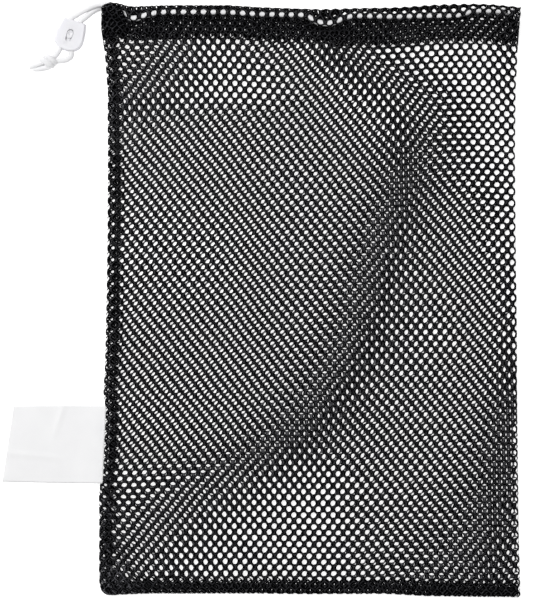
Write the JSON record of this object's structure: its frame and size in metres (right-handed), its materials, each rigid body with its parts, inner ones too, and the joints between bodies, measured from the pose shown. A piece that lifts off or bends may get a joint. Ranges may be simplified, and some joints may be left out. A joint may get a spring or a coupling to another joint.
{
  "type": "mesh laundry bag",
  "caption": "Flat rectangular mesh bag for holding laundry through the wash, with a drawstring in its hemmed mouth, a spring-button cord lock and a write-on label.",
  "frame": {"origin": "middle of the bag body's underside, where the back wall rests on the floor", "axes": "+X across the bag from the label side to the folded side, +Y up the bag from the bottom seam to the mouth, +Z out of the front wall"},
  "size_m": [0.534, 0.607, 0.0158],
  "materials": {
    "mesh_cloth": "black warp-knitted polyester mesh with round holes",
    "black_thread": "black polyester sewing thread",
    "white_cord": "white braided polyester cord",
    "white_plastic": "white moulded plastic, satin",
    "white_label": "white write-on label cloth, matte",
    "spring_steel": "bright spring wire"
  },
  "bodies": {
    "bag": {"back_panel": "mesh_cloth", "side_seam": "mesh_cloth", "bottom_seam": "mesh_cloth", "side_fold": "mesh_cloth", "mouth_fold": "mesh_cloth", "back_casing": "mesh_cloth", "side_seam_thread": "black_thread", "bottom_seam_thread": "black_thread", "back_hem_thread": "black_thread"},
    "front_wall": {"front_panel": "mesh_cloth", "front_casing": "mesh_cloth", "front_hem_thread": "black_thread"},
    "drawstring": {"drawstring_back_strand": "white_cord", "drawstring_front_tail": "white_cord", "stopper_knot": "white_cord", "cord_end_left": "white_cord", "cord_end_right": "white_cord"},
    "front_cord": {"drawstring_front_strand": "white_cord"},
    "lock": {"lock_front_shell": "white_plastic", "lock_back_shell": "white_plastic", "lock_spring": "spring_steel"},
    "button": {"lock_button": "white_plastic"},
    "label": {"id_label": "white_label"}
  },
  "joints": [
    {"name": "mouth_open", "type": "hinge", "parent": "bag", "child": "front_wall", "pos_m": [0, -0.2986, 0.0094], "axis": [1, 0, 0], "range_deg": [0, 12]},
    {"name": "drawstring_pull", "type": "slide", "parent": "bag", "child": "drawstring", "axis": [-1, 0, 0], "range_m": [0, 0.05]},
    {"name": "front_cord_lift", "type": "hinge", "parent": "drawstring", "child": "front_cord", "pos_m": [0, -0.2986, 0.0094], "axis": [1, 0, 0], "range_deg": [0, 12]},
    {"name": "lock_slide", "type": "slide", "parent": "drawstring", "child": "lock", "axis": [0.3256, 0.9455, 0], "range_m": [-0.0015, 0.003]},
    {"name": "button_press", "type": "slide", "parent": "lock", "child": "button", "axis": [-0.3256, -0.9455, 0], "range_m": [0, 0.003], "stiffness_N_per_m": 300, "deforming": ["lock_spring"]},
    {"name": "label_flip", "type": "hinge", "parent": "bag", "child": "label", "pos_m": [-0.2165, -0.14825, 0.0049], "axis": [0, 1, 0], "range_deg": [0, 90]}
  ],
  "couplings": [
    {"joint": "front_cord_lift", "follows": "mouth_open", "ratio": 1}
  ]
}
